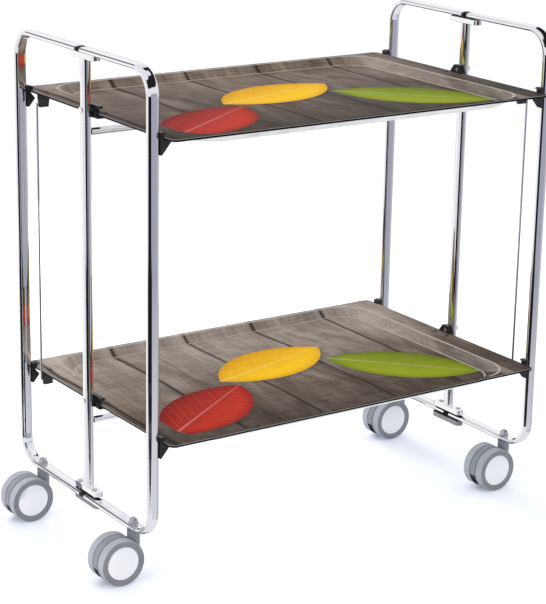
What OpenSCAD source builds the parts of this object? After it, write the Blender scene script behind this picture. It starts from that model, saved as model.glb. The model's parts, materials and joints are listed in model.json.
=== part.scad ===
// Folding kitchen cart: two trays that tilt together between a pair of centre posts,
// four half frames that swing out on vertical pins, and four twin-wheel casters.
// X runs along the trays, the front is -Y, and the wheels stand on z = 0.

/* [Trays] */
// Length of a tray
tray_w = 600; // [560:1:640]
// Depth of a tray, front to back
tray_d = 396; // [360:1:430]
// Thickness of the tray sheet
tray_t = 3; // [2:0.25:4]
// Radius of a tray's outer corners
tray_corner_r = 9; // [4:1:20]
// Depth of the well below the rim
well_depth = 10.7; // [8:0.1:12]
// Width of the flat rim at a tray's ends
rim_end = 34; // [30:1:60]
// Width of the flat rim at a tray's long sides
rim_side = 7; // [5:0.5:30]
// Radius of the well's corners at the rim
well_corner_r = 44; // [25:1:80]
// How far the well's end walls slope inward, from rim to floor
end_slope = 18.4; // [10:0.1:24]
// How far the well's side walls slope inward, from rim to floor
side_slope = 15.3; // [10:0.1:20]
// Height of the lower tray's rim above the floor
lower_rim_z = 201.7; // [198:0.5:230]
// Height from the lower tray's rim to the upper tray's rim
tray_spacing = 391.8; // [360:1:420]

/* [Frame tubes] */
// Width of the flat tube, along X
tube_w = 17; // [14:0.5:22]
// Thickness of the flat tube, in the plane of the frame
tube_t = 7.5; // [6:0.25:10]
// Radius of the tube's corners
tube_corner_r = 3; // [2:0.25:3.5]
// Wall of the tube
tube_wall = 1.2; // [0.8:0.1:1.6]
// Radius of the bends, at the tube's centre line
bend_r = 34; // [20:1:40]
// Distance from a tray's end to a leg
leg_gap = 5; // [4.5:0.25:9]
// Distance from a tray's long side to a leg's centre, along Y
leg_inset = 24.6; // [18:0.1:34]
// Height of the top bars' underside above the upper tray's rim
top_bar_rise = 78.25; // [60:0.25:110]
// Height of the bottom bars' underside
bottom_bar_z = 68; // [66:0.5:90]
// Distance from the middle to the sawn end of a bar
bar_end_y = 6; // [5.5:0.1:7]

/* [End plugs] */
// Distance from the middle to the tip of an end plug
plug_tip_y = 1.5; // [1.2:0.1:2.5]
// How far a plug reaches into its tube
plug_shank = 9; // [5:0.5:10]

/* [Centre posts and channels] */
// Diameter of the centre posts
post_d = 14; // [12:0.5:16]
// Wall of the centre posts
post_wall = 1.5; // [1:0.1:2.5]
// Distance from a tray's end to a post
post_gap = 2.6; // [2.2:0.1:4]
// Width of the channels on the posts' ends
channel_w = 14; // [12:0.5:16]
// Height of the channels
channel_h = 7; // [6:0.5:12]
// Length of the channels
channel_len = 63; // [56:1:80]
// Wall of the channels
channel_wall = 1.6; // [1:0.1:2.5]
// Space between the bottom bars and the foot channels above them
foot_lift = 2.2; // [0.3:0.1:3]

/* [Hinge pins] */
// Distance from the middle to a hinge pin, along Y
hinge_y = 20; // [19:0.5:26]
// How far the hinge pins stand outward of the posts' centre line
hinge_offset = 2.4; // [2:0.1:2.6]
// Diameter of the hinge pins
hinge_pin_d = 5; // [4:0.5:5.5]
// Thickness of a hinge pin's head
hinge_head_t = 1.2; // [0.8:0.1:2]

/* [Tray pivots] */
// Height of the tilting axis above a tray's rim
pivot_h = 4; // [3.5:0.25:5]
// Diameter of the tray pivot pins
pivot_pin_d = 6; // [5:0.25:6.5]
// Diameter of a tray pivot pin's head
pivot_head_d = 8.4; // [7.5:0.1:11]
// Height of a pivot block above the rim
block_h = 11; // [9.5:0.5:14]
// Thickness of a pivot block, along X
block_t = 6.3; // [5:0.1:8]
// Width of a pivot block at the rim
block_w = 27; // [24:1:30]
// Width of a pivot block at its top
block_top_w = 15; // [13:1:18]
// Length of the plate under the rim that the block is riveted by
block_foot = 19; // [17:1:22]
// Thickness of that plate
block_foot_t = 3; // [2:0.25:4]
// How far the side lug of a left block reaches from the pivot
lug_reach = 21; // [16:1:26]
// Distance from a tray's end to its rivets
rivet_inset = 11.5; // [9:0.5:13]
// Distance between the two rivets of a pivot block
rivet_pitch = 27; // [24:1:30]
// Diameter of a rivet's shank
rivet_d = 4; // [3:0.25:4.5]
// Diameter of a rivet's head
rivet_head_d = 6.6; // [5.5:0.1:8]

/* [Tray rods] */
// Diameter of the rod under a tray
rod_d = 9.4; // [8:0.2:12]
// Wall of the rods
rod_wall = 1.2; // [0.8:0.1:2]
// Space between the tray's floor and its rod
rod_gap = 6.4; // [5:0.1:8]
// Length of a rod clamp
clamp_len = 30; // [20:1:40]
// Width of a rod clamp
clamp_w = 24; // [18:1:30]
// Distance from the middle to a rod clamp, along X
clamp_x = 180; // [100:1:220]

/* [Link rods] */
// Diameter of the link rods
link_d = 3; // [2.5:0.1:3]
// Distance from a tray's end to a link rod's centre
link_gap = 2; // [1.9:0.1:2.2]
// Distance from a leg's centre to a link rod, along Y
link_inset = 25.4; // [22:0.1:40]
// Depth of the link rods' hooks below the trays' rims
hook_z = 13; // [11:0.25:15]
// Bend radius of the hooks, at the rod's centre line
hook_r = 3; // [2.5:0.25:4]
// Length of the clip that holds a hook
clip_len = 13; // [12.5:0.5:18]
// Width of a clip at the tray
clip_w = 11; // [10:0.5:20]
// Height of a clip
clip_h = 16.5; // [15:0.5:20]

/* [Corner brackets] */
// Width of a corner bracket, along Y
bracket_w = 10; // [8:0.5:16]
// How far the front brackets' gussets reach under a tray
bracket_reach = 10.5; // [8:0.5:14]
// Height of a bracket below the rim
bracket_drop = 22; // [18:0.5:26]
// How far a bracket's lip reaches over a tray
lip_reach = 3; // [2:0.25:3.5]
// Clearance between a front bracket's lip and the tray
front_lip_gap = 4.2; // [4:0.1:6]
// Height of a bracket's top above the rim
bracket_rise = 6.5; // [6:0.25:10]

/* [Casters] */
// Diameter of a caster wheel
wheel_d = 62.5; // [55:0.5:70]
// Width of one wheel of the pair
wheel_w = 13.5; // [10:0.25:15]
// Width of the hood between the two wheels
hood_w = 11.4; // [10:0.2:14]
// Gap between the hood and a wheel
wheel_gap = 0.8; // [0.3:0.1:1.5]
// Distance from the caster's turning axis to its wheels' axle
trail = 26; // [20:0.5:30]
// Distance from a leg's centre to a caster, along Y
caster_inset = 48.4; // [42:0.1:60]
// Diameter of the neck under the bar
neck_d = 17; // [14:0.5:20]
// Diameter of the bolt that a caster turns on
bolt_d = 8; // [6:0.5:10]
// Diameter of the bolt's domed head
bolt_head_d = 12; // [10:0.5:14]
// Diameter of the wheels' axle
axle_d = 6; // [5:0.5:8]
// Diameter of the bright disc in a wheel
disc_d = 46; // [36:0.5:50]

/* [Hidden] */
$fn = 64;

// Clearance between parts that move past each other, and the play of a running fit on the radius
gap = 0.3;
play = 0.05;
// What a cut runs past a face by
cut = 1;

LEFT = -1;
RIGHT = 1;
FRONT = -1;
REAR = 1;

upper_rim_z = lower_rim_z + tray_spacing;
tray_end = tray_w / 2;
leg_x = tray_end + leg_gap + tube_w / 2;
leg_y = tray_d / 2 - leg_inset;
top_bar_z = upper_rim_z + top_bar_rise;
post_x = tray_end + post_gap + post_d / 2;
hinge_x = post_x + hinge_offset;
wheel_r = wheel_d / 2;
// The casters trail to the left, so the cart is shifted to keep its box centred on the origin
cart_x = (trail + wheel_r - tube_w / 2) / 2;

// The well at the rim and at the floor
well_half_x = tray_end - rim_end;
well_half_y = tray_d / 2 - rim_side;
floor_half_x = well_half_x - end_slope;
floor_half_y = well_half_y - side_slope;
floor_corner_r = well_corner_r - 4;
// What the shell's outline is larger by, so that the sloping walls are as thick as the sheet
well_grow = tray_t * (sqrt(well_depth * well_depth + side_slope * side_slope) - side_slope) / well_depth;

bar_corner_z = [bottom_bar_z + tube_t / 2, top_bar_z + tube_t / 2];
foot_z = bottom_bar_z + tube_t + foot_lift;
top_channel_z = top_bar_z - gap - channel_h;
lower_channel_z = bottom_bar_z - gap - channel_h;

block_x = tray_end + post_gap - gap - block_t;
// Radius of a rivet's dome over the radius of its head
rivet_dome = 1.25;
rod_z = -tray_t - well_depth - rod_gap - rod_d / 2;
rod_half = tray_end + post_gap - gap;
link_x = tray_end + link_gap;
link_y = leg_y - link_inset;
clip_x = link_x - hook_r - gap - clip_len;

caster_y = leg_y - caster_inset;
neck_top_z = bottom_bar_z - gap;
bolt_reach = 20;
wheel_in_y = hood_w / 2 + wheel_gap;
wheel_out_y = wheel_in_y + wheel_w;
disc_t = 1.4;
disc_recess = 2;
disc_play = 0.1;

module at_cart() {
    translate([cart_x, 0, 0]) children();
}

// Carries what is drawn for the rear right corner to another corner
module at_corner(side, end) {
    at_cart()
        mirror([side == LEFT ? 1 : 0, 0, 0])
            mirror([0, end == FRONT ? 1 : 0, 0])
                children();
}

// A rectangle with rounded corners, centred
module round_rect(w, h, r) {
    union() {
        square([w - 2 * r, h], center = true);
        square([w, h - 2 * r], center = true);
        for (x = [-1, 1])
            for (y = [-1, 1])
                translate([x * (w / 2 - r), y * (h / 2 - r)]) circle(r);
    }
}

// Turns a shape drawn in XY and raised along Z into one drawn in YZ and raised along X
module along_x() {
    rotate([90, 0, 90]) children();
}

// Turns a shape drawn in XY and raised along Z into one drawn in XZ and raised along Y
module along_y() {
    rotate([-90, 0, 0]) mirror([0, 1, 0]) children();
}

// Posts and channels

module post(side) {
    z0 = foot_z + channel_h;
    color("gainsboro")
        at_cart()
            translate([side * post_x, 0, 0])
                difference() {
                    translate([0, 0, z0]) cylinder(d = post_d, h = top_channel_z - z0);
                    translate([0, 0, z0 - cut])
                        cylinder(d = post_d - 2 * post_wall, h = top_channel_z - z0 + 2 * cut);
                    for (rim = [lower_rim_z, upper_rim_z])
                        translate([-post_d, 0, rim + pivot_h])
                            along_x() cylinder(d = pivot_pin_d, h = 2 * post_d);
                }
}

module left_post() {
    post(LEFT);
}

module right_post() {
    post(RIGHT);
}

module channel_outline(inset) {
    length = channel_len - 2 * inset;
    width = channel_w - 2 * inset;
    union() {
        square([width, length - width], center = true);
        for (y = [-1, 1])
            translate([0, y * (length - width) / 2]) circle(d = width);
    }
}

// A pressed channel with round ends and its plate at the bottom, open upward
module channel(side, z) {
    translate([side * post_x, 0, z])
        difference() {
            linear_extrude(channel_h) channel_outline(0);
            translate([0, 0, channel_wall]) linear_extrude(channel_h) channel_outline(channel_wall);
            for (y = [-1, 1])
                translate([side * hinge_offset, y * hinge_y, -cut])
                    cylinder(d = hinge_pin_d, h = channel_wall + 2 * cut);
        }
}

module top_channel(side) {
    color("gainsboro") at_cart() channel(side, top_channel_z);
}

module left_top_channel() {
    top_channel(LEFT);
}

module right_top_channel() {
    top_channel(RIGHT);
}

// The foot channel is the same pressing turned over, with its plate under the post
module foot_channel(side) {
    color("gainsboro")
        at_cart()
            translate([0, 0, foot_z + channel_h]) mirror([0, 0, 1]) channel(side, 0);
}

module left_foot_channel() {
    foot_channel(LEFT);
}

module right_foot_channel() {
    foot_channel(RIGHT);
}

module lower_channels() {
    color("darkgray")
        at_cart()
            for (side = [LEFT, RIGHT])
                channel(side, lower_channel_z);
}

// Pins

module hinge_shank(z0, z1) {
    translate([0, 0, z0]) cylinder(d = hinge_pin_d, h = z1 - z0);
}

// The bottom pins run through both channels and the bar; the top pins end inside the top bar
module hinge_pins() {
    bottom_z = lower_channel_z;
    foot_top_z = foot_z + channel_h;
    head_d = hinge_pin_d + 2;
    color("silver")
        at_cart()
            for (side = [LEFT, RIGHT])
                for (end = [FRONT, REAR])
                    translate([side * hinge_x, end * hinge_y, 0]) {
                        union() {
                            hinge_shank(bottom_z - hinge_head_t, foot_top_z + hinge_head_t);
                            translate([0, 0, bottom_z - hinge_head_t]) cylinder(d = head_d, h = hinge_head_t);
                            translate([0, 0, foot_top_z]) cylinder(d = head_d, h = hinge_head_t);
                        }
                        union() {
                            hinge_shank(top_channel_z - hinge_head_t, top_bar_z + tube_t - tube_wall - gap);
                            translate([0, 0, top_channel_z - hinge_head_t])
                                cylinder(d = head_d, h = hinge_head_t);
                        }
                    }
}

// Each pin runs through a post into a pivot block and has a flat head outside the post
module tray_pivot_pins() {
    head_x = post_x + post_d / 2;
    head_t = 1.4;
    start_x = block_x + gap;
    color("silver")
        at_cart()
            for (side = [LEFT, RIGHT])
                for (rim = [lower_rim_z, upper_rim_z])
                    mirror([side == LEFT ? 1 : 0, 0, 0])
                        translate([0, 0, rim + pivot_h])
                            union() {
                                translate([start_x, 0, 0])
                                    along_x() cylinder(d = pivot_pin_d, h = head_x - start_x + head_t / 2);
                                translate([head_x, 0, 0])
                                    along_x() cylinder(d = pivot_head_d, h = head_t);
                            }
}

// Trays, drawn with the rim's top at z = 0

// The well's space, from the rim down to its floor, with its outline larger by grow
module well(grow) {
    sheet = 0.01;
    hull() {
        linear_extrude(sheet)
            round_rect(2 * (well_half_x + grow), 2 * (well_half_y + grow), well_corner_r + grow);
        translate([0, 0, -well_depth])
            linear_extrude(sheet)
                round_rect(2 * (floor_half_x + grow), 2 * (floor_half_y + grow), floor_corner_r + grow);
    }
}

module tray(rim) {
    color("dimgray")
        at_cart()
            translate([0, 0, rim])
                difference() {
                    union() {
                        translate([0, 0, -tray_t])
                            linear_extrude(tray_t) round_rect(tray_w, tray_d, tray_corner_r);
                        translate([0, 0, -tray_t]) well(well_grow);
                    }
                    well(0);
                    rivet_places() cylinder(d = rivet_d, h = 3 * tray_t, center = true);
                }
}

module upper_tray() {
    tray(upper_rim_z);
}

module lower_tray() {
    tray(lower_rim_z);
}

// The rivets' places on a tray: two at each pivot block and one at each link clip
module rivet_places() {
    x = tray_end - rivet_inset;
    for (side = [LEFT, RIGHT]) {
        for (y = [-1, 1])
            translate([side * x, y * rivet_pitch / 2, 0]) children();
        translate([side * x, -side * link_y, 0]) children();
    }
}

module rivets(rim) {
    head_r = rivet_head_d / 2;
    dome_r = head_r * rivet_dome;
    dome_h = dome_r - sqrt(dome_r * dome_r - head_r * head_r);
    color("silver")
        at_cart()
            translate([0, 0, rim])
                rivet_places()
                    union() {
                        translate([0, 0, -tray_t]) cylinder(d = rivet_d, h = tray_t);
                        intersection() {
                            translate([0, 0, dome_h - dome_r]) sphere(dome_r);
                            cylinder(r = head_r, h = dome_h);
                        }
                    }
}

module upper_rivets() {
    rivets(upper_rim_z);
}

module lower_rivets() {
    rivets(lower_rim_z);
}

// The rod is a thin tube that stiffens a tray and is clamped under its floor
module tray_rod(rim) {
    color("gainsboro")
        at_cart()
            translate([-rod_half, 0, rim + rod_z])
                along_x()
                    difference() {
                        cylinder(d = rod_d, h = 2 * rod_half);
                        translate([0, 0, -cut]) cylinder(d = rod_d - 2 * rod_wall, h = 2 * (rod_half + cut));
                    }
}

module upper_tray_rod() {
    tray_rod(upper_rim_z);
}

module lower_tray_rod() {
    tray_rod(lower_rim_z);
}

// A clamp is a moulded saddle with a flat top on the floor's underside
module rod_clamps(rim) {
    half = clamp_w / 2;
    top = -tray_t - well_depth - rod_z;
    wing_t = 3;
    shell = rod_d / 2 + 2.5;
    color("black")
        at_cart()
            for (x = [-clamp_x, clamp_x])
                translate([x - clamp_len / 2, 0, rim + rod_z])
                    difference() {
                        union() {
                            along_x() cylinder(r = shell, h = clamp_len);
                            along_x()
                                linear_extrude(clamp_len)
                                    polygon([[-shell, 0], [shell, 0], [half, top - wing_t], [half, top],
                                             [-half, top], [-half, top - wing_t]]);
                        }
                        translate([-cut, 0, 0]) along_x() cylinder(d = rod_d, h = clamp_len + 2 * cut);
                        translate([-cut, -shell, top]) cube([clamp_len + 2 * cut, 2 * shell, shell]);
                    }
}

module upper_rod_clamps() {
    rod_clamps(upper_rim_z);
}

module lower_rod_clamps() {
    rod_clamps(lower_rim_z);
}

// Pivot blocks grip the tray's end: a foot under the rim, a cheek past its end and a hump above it
module pivot_block(with_lug) {
    half = block_w / 2;
    top_half = block_top_w / 2;
    lug_t = 3.5;
    shoulder = 2;
    bevel = 1.5;
    foot_past = 4;
    foot_z = -tray_t - block_foot_t;
    difference() {
        union() {
            translate([block_x, 0, 0])
                along_x()
                    linear_extrude(block_t)
                        union() {
                            polygon([[-half, 0], [half, 0], [half, shoulder], [top_half, block_h - bevel],
                                     [top_half - bevel, block_h], [bevel - top_half, block_h],
                                     [-top_half, block_h - bevel], [-half, shoulder]]);
                            if (with_lug)
                                translate([-lug_reach, block_h - lug_t])
                                    square([lug_reach - top_half + bevel, lug_t]);
                        }
            translate([tray_end, -half, foot_z])
                cube([post_gap - gap, block_w, tray_t + block_foot_t]);
            translate([tray_end - block_foot, -half - foot_past, foot_z])
                cube([block_foot + post_gap - gap, block_w + 2 * foot_past, block_foot_t]);
        }
        translate([block_x - cut, 0, pivot_h])
            along_x() cylinder(d = pivot_pin_d + 2 * play, h = block_t + 2 * cut);
    }
}

module pivot_blocks(rim) {
    color("black")
        at_cart()
            translate([0, 0, rim]) {
                mirror([1, 0, 0]) pivot_block(true);
                pivot_block(false);
            }
}

module upper_pivot_blocks() {
    pivot_blocks(upper_rim_z);
}

module lower_pivot_blocks() {
    pivot_blocks(lower_rim_z);
}

// Link clips hang under the rim, one at the left rear and one at the right front
module link_clips(rim, bore) {
    half = clip_w / 2;
    shoulder = 3;
    low_half = half - shoulder;
    color("black")
        at_cart()
            for (side = [LEFT, RIGHT])
                mirror([side == LEFT ? 1 : 0, 0, 0])
                    translate([clip_x, -side * link_y, rim - tray_t])
                        difference() {
                            along_x()
                                linear_extrude(clip_len)
                                    polygon([[-half, 0], [-half, -shoulder], [-low_half, -clip_h],
                                             [low_half, -clip_h], [half, -shoulder], [half, 0]]);
                            translate([-cut, 0, tray_t - hook_z])
                                along_x() cylinder(d = bore, h = clip_len + 2 * cut);
                        }
}

module upper_link_clips() {
    link_clips(upper_rim_z, link_d + 2 * play);
}

// The lower clips are the looser ones
module lower_link_clips() {
    link_clips(lower_rim_z, link_d + 2 * gap);
}

// A link rod hangs beside the trays' ends, with a hook turned into each tray's clip
module link_rod(side) {
    upper = upper_rim_z - hook_z;
    lower = lower_rim_z - hook_z;
    hook_end = clip_x + clip_len / 5;
    arm = link_x - hook_r - hook_end;
    color("silver")
        at_cart()
            mirror([side == LEFT ? 1 : 0, 0, 0])
                translate([0, -side * link_y, 0])
                    union() {
                        translate([link_x, 0, lower + hook_r])
                            cylinder(d = link_d, h = upper - lower - 2 * hook_r);
                        for (z = [lower, upper])
                            translate([hook_end, 0, z]) along_x() cylinder(d = link_d, h = arm);
                        translate([link_x - hook_r, 0, upper - hook_r])
                            rotate([90, 0, 0])
                                rotate_extrude(angle = 90) translate([hook_r, 0]) circle(d = link_d);
                        translate([link_x - hook_r, 0, lower + hook_r])
                            rotate([90, 0, 0])
                                rotate(-90)
                                    rotate_extrude(angle = 90) translate([hook_r, 0]) circle(d = link_d);
                    }
}

module left_link_rod() {
    link_rod(LEFT);
}

module right_link_rod() {
    link_rod(RIGHT);
}

// Half frames, drawn for the rear right corner in the plane x = leg_x

module tube_section(inset) {
    round_rect(tube_w - 2 * inset, tube_t - 2 * inset, tube_corner_r - inset);
}

// A bent tube from the bottom bar's end, round the leg, to the top bar's end
module tube_run(inset, past) {
    bend_y = leg_y - bend_r;
    low_z = bar_corner_z[0];
    high_z = bar_corner_z[1];
    union() {
        for (z = bar_corner_z)
            translate([0, bar_end_y - past, z])
                along_y() linear_extrude(bend_y - bar_end_y + past) tube_section(inset);
        translate([0, leg_y, low_z + bend_r])
            linear_extrude(high_z - low_z - 2 * bend_r) tube_section(inset);
        translate([0, bend_y, high_z - bend_r]) along_x() tube_bend(inset);
        translate([0, bend_y, low_z + bend_r]) along_x() rotate(-90) tube_bend(inset);
    }
}

module tube_bend(inset) {
    rotate_extrude(angle = 90) translate([bend_r, 0]) rotate(90) tube_section(inset);
}

module half_frame_tube(side, end) {
    color("gainsboro")
        at_corner(side, end)
            difference() {
                translate([leg_x, 0, 0])
                    difference() {
                        tube_run(0, 0);
                        tube_run(tube_wall, cut);
                    }
                translate([hinge_x, hinge_y, bottom_bar_z - cut])
                    cylinder(d = hinge_pin_d + 2 * play, h = tube_t + 2 * cut);
                translate([hinge_x, hinge_y, top_bar_z - cut])
                    cylinder(d = hinge_pin_d + 2 * play, h = cut + tube_t / 2);
                translate([leg_x, caster_y, bottom_bar_z - cut])
                    cylinder(d = bolt_d, h = tube_t + 2 * cut);
            }
}

module left_front_tube() {
    half_frame_tube(LEFT, FRONT);
}

module left_rear_tube() {
    half_frame_tube(LEFT, REAR);
}

module right_front_tube() {
    half_frame_tube(RIGHT, FRONT);
}

module right_rear_tube() {
    half_frame_tube(RIGHT, REAR);
}

// A plug's cap goes on with the tube's outline and has round corners; its shank fills the bore
module end_plug() {
    cap = bar_end_y - plug_tip_y;
    half = tube_w / 2;
    fit = tube_wall + 2 * play;
    union() {
        intersection() {
            translate([0, plug_tip_y, 0]) along_y() linear_extrude(cap) tube_section(0);
            translate([0, 0, -tube_t])
                linear_extrude(2 * tube_t)
                    union() {
                        translate([cap - half, plug_tip_y]) square([tube_w - 2 * cap, cap]);
                        for (x = [-1, 1])
                            translate([x * (half - cap), bar_end_y]) circle(cap);
                    }
        }
        translate([0, bar_end_y, 0]) along_y() linear_extrude(plug_shank) tube_section(fit);
    }
}

module end_plugs(side, end) {
    color("black")
        at_corner(side, end)
            for (z = bar_corner_z)
                translate([leg_x, 0, z]) end_plug();
}

module left_front_plugs() {
    end_plugs(LEFT, FRONT);
}

module left_rear_plugs() {
    end_plugs(LEFT, REAR);
}

module right_front_plugs() {
    end_plugs(RIGHT, FRONT);
}

module right_rear_plugs() {
    end_plugs(RIGHT, REAR);
}

// A corner bracket in outline: a gusset under the rim and a lip over it, x inward from the leg's face.
// The trays tilt with their front edge up, so the rear gussets slope away and the front lips stand clear
module bracket_outline(end) {
    tip = leg_gap + bracket_reach;
    slot = leg_gap - gap;
    under = -tray_t - gap;
    lip = leg_gap + lip_reach;
    lip_z = end == FRONT ? front_lip_gap : gap;
    slope = 1.25;
    foot = 2;
    nose = 2.5;
    bevel = 1.5;
    difference() {
        polygon([[0, -bracket_drop], [foot, -bracket_drop], [tip, under - nose], [tip, under],
                 [lip, under], [lip, bracket_rise - bevel], [leg_gap, bracket_rise], [0, bracket_rise]]);
        polygon([[slot, under], [lip + cut, under], [lip + cut, lip_z], [slot, lip_z]]);
        if (end == REAR)
            polygon([[leg_gap, under], [tip + cut, under - slope * (bracket_reach + cut)],
                     [tip + cut, under + cut], [leg_gap, under + cut]]);
    }
}

module corner_brackets(side, end) {
    color("black")
        at_corner(side, end)
            for (rim = [lower_rim_z, upper_rim_z])
                translate([leg_x - tube_w / 2, leg_y + bracket_w / 2, rim])
                    rotate([90, 0, 0])
                        linear_extrude(bracket_w) mirror([1, 0, 0]) bracket_outline(end);
}

module left_front_brackets() {
    corner_brackets(LEFT, FRONT);
}

module left_rear_brackets() {
    corner_brackets(LEFT, REAR);
}

module right_front_brackets() {
    corner_brackets(RIGHT, FRONT);
}

module right_rear_brackets() {
    corner_brackets(RIGHT, REAR);
}

// Casters, drawn about their turning axis with the wheels trailing to -X

module at_caster(side, end) {
    at_cart() translate([side * leg_x, end * caster_y, 0]) children();
}

// The bolt runs down through the bar into the neck, and a domed head with a washer holds it
module caster_bolt(side, end) {
    bar_top = bottom_bar_z + tube_t;
    washer_t = 1;
    skirt_h = 1.5;
    head_r = bolt_head_d / 2;
    shank_z = neck_top_z - bolt_reach;
    color("silver")
        at_caster(side, end)
            union() {
                translate([0, 0, shank_z]) cylinder(d = bolt_d, h = bar_top - shank_z);
                translate([0, 0, bar_top]) cylinder(d = bolt_head_d + 2, h = washer_t);
                translate([0, 0, bar_top + washer_t]) cylinder(r = head_r, h = skirt_h);
                translate([0, 0, bar_top + washer_t + skirt_h])
                    intersection() {
                        sphere(head_r);
                        cylinder(r = head_r, h = head_r);
                    }
            }
}

module left_front_caster_bolt() {
    caster_bolt(LEFT, FRONT);
}

module left_rear_caster_bolt() {
    caster_bolt(LEFT, REAR);
}

module right_front_caster_bolt() {
    caster_bolt(RIGHT, FRONT);
}

module right_rear_caster_bolt() {
    caster_bolt(RIGHT, REAR);
}

// A disc across Y about the axle, from y0 to y1
module axle_disc(r, y0, y1) {
    translate([-trail, y0, wheel_r]) along_y() cylinder(r = r, h = y1 - y0);
}

// The housing is a neck and a thin hood between the wheels, open below, with a boss for the axle
module caster_housing(side, end) {
    hood_wall = 1.8;
    rim_wall = 3;
    open_z = wheel_r - 14;
    half = hood_w / 2;
    clear_r = wheel_r + 1;
    web = [-4, 3];
    web_z = wheel_r - 8;
    bore_z = neck_top_z - bolt_reach - 1;
    color("slategray")
        at_caster(side, end)
            difference() {
                union() {
                    difference() {
                        axle_disc(wheel_r, -half, half);
                        axle_disc(wheel_r - rim_wall, hood_wall - half, half - hood_wall);
                        translate([-trail - wheel_r - cut, -half - cut, -cut])
                            cube([2 * wheel_r + 2 * cut, hood_w + 2 * cut, open_z + cut]);
                    }
                    axle_disc(axle_d, -half, half);
                    translate([web[0], hood_wall - half, web_z])
                        cube([web[1] - web[0], hood_w - 2 * hood_wall, neck_top_z - web_z - neck_d]);
                    difference() {
                        translate([0, 0, wheel_r]) cylinder(d = neck_d, h = neck_top_z - wheel_r);
                        axle_disc(clear_r, half, neck_d);
                        axle_disc(clear_r, -neck_d, -half);
                    }
                }
                axle_disc(axle_d / 2, -half - cut, half + cut);
                translate([0, 0, bore_z])
                    cylinder(d = bolt_d + 2 * play, h = neck_top_z - bore_z + cut);
            }
}

module left_front_caster_housing() {
    caster_housing(LEFT, FRONT);
}

module left_rear_caster_housing() {
    caster_housing(LEFT, REAR);
}

module right_front_caster_housing() {
    caster_housing(RIGHT, FRONT);
}

module right_rear_caster_housing() {
    caster_housing(RIGHT, REAR);
}

module wheel_axle(side, end) {
    half = wheel_out_y - disc_recess - gap;
    color("silver") at_caster(side, end) axle_disc(axle_d / 2, -half, half);
}

module left_front_axle() {
    wheel_axle(LEFT, FRONT);
}

module left_rear_axle() {
    wheel_axle(LEFT, REAR);
}

module right_front_axle() {
    wheel_axle(RIGHT, FRONT);
}

module right_rear_axle() {
    wheel_axle(RIGHT, REAR);
}

// A wheel in section, x outward on the radius and y across the cart, with the bright disc's recess
module wheel_section() {
    bore_r = axle_d / 2 + play;
    edge_r = 1.2;
    inner_edge_r = 1.2;
    difference() {
        union() {
            translate([0, wheel_in_y + inner_edge_r])
                square([wheel_r, wheel_w - edge_r - inner_edge_r]);
            translate([0, wheel_in_y]) square([wheel_r - inner_edge_r, wheel_w - edge_r]);
            translate([0, wheel_in_y]) square([wheel_r - edge_r, wheel_w]);
            translate([wheel_r - edge_r, wheel_out_y - edge_r]) circle(edge_r);
            translate([wheel_r - inner_edge_r, wheel_in_y + inner_edge_r]) circle(inner_edge_r);
        }
        translate([-cut, wheel_in_y - cut]) square([bore_r + cut, wheel_w + 2 * cut]);
        translate([-cut, wheel_out_y - disc_recess]) square([disc_d / 2 + cut, disc_recess + cut]);
    }
}

// The wheel, with its bright disc seated in the recess
module wheel(side, end, face) {
    disc_y = wheel_out_y - disc_recess;
    at_caster(side, end)
        translate([-trail, 0, wheel_r])
            mirror([0, face == FRONT ? 1 : 0, 0]) {
                color("slategray")
                    along_y() rotate_extrude() wheel_section();
                color("gainsboro")
                    translate([0, disc_y + disc_play, 0])
                        along_y() cylinder(d = disc_d - 2 * disc_play, h = disc_t);
            }
}

module left_front_near_wheel() {
    wheel(LEFT, FRONT, FRONT);
}

module left_front_far_wheel() {
    wheel(LEFT, FRONT, REAR);
}

module left_rear_near_wheel() {
    wheel(LEFT, REAR, FRONT);
}

module left_rear_far_wheel() {
    wheel(LEFT, REAR, REAR);
}

module right_front_near_wheel() {
    wheel(RIGHT, FRONT, FRONT);
}

module right_front_far_wheel() {
    wheel(RIGHT, FRONT, REAR);
}

module right_rear_near_wheel() {
    wheel(RIGHT, REAR, FRONT);
}

module right_rear_far_wheel() {
    wheel(RIGHT, REAR, REAR);
}

left_post();
right_post();
left_top_channel();
right_top_channel();
left_foot_channel();
right_foot_channel();
lower_channels();
hinge_pins();
tray_pivot_pins();
upper_tray();
upper_tray_rod();
upper_rod_clamps();
upper_pivot_blocks();
upper_rivets();
upper_link_clips();
lower_tray();
lower_tray_rod();
lower_rod_clamps();
lower_pivot_blocks();
lower_rivets();
lower_link_clips();
left_link_rod();
right_link_rod();
left_front_tube();
left_rear_tube();
right_front_tube();
right_rear_tube();
left_front_plugs();
left_rear_plugs();
right_front_plugs();
right_rear_plugs();
left_front_brackets();
left_rear_brackets();
right_front_brackets();
right_rear_brackets();
left_front_caster_bolt();
left_rear_caster_bolt();
right_front_caster_bolt();
right_rear_caster_bolt();
left_front_caster_housing();
left_rear_caster_housing();
right_front_caster_housing();
right_rear_caster_housing();
left_front_axle();
left_rear_axle();
right_front_axle();
right_rear_axle();
left_front_near_wheel();
left_front_far_wheel();
left_rear_near_wheel();
left_rear_far_wheel();
right_front_near_wheel();
right_front_far_wheel();
right_rear_near_wheel();
right_rear_far_wheel();
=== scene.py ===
import json
import math

import bmesh
import bpy
import numpy as np
from mathutils import Matrix, Vector


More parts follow.
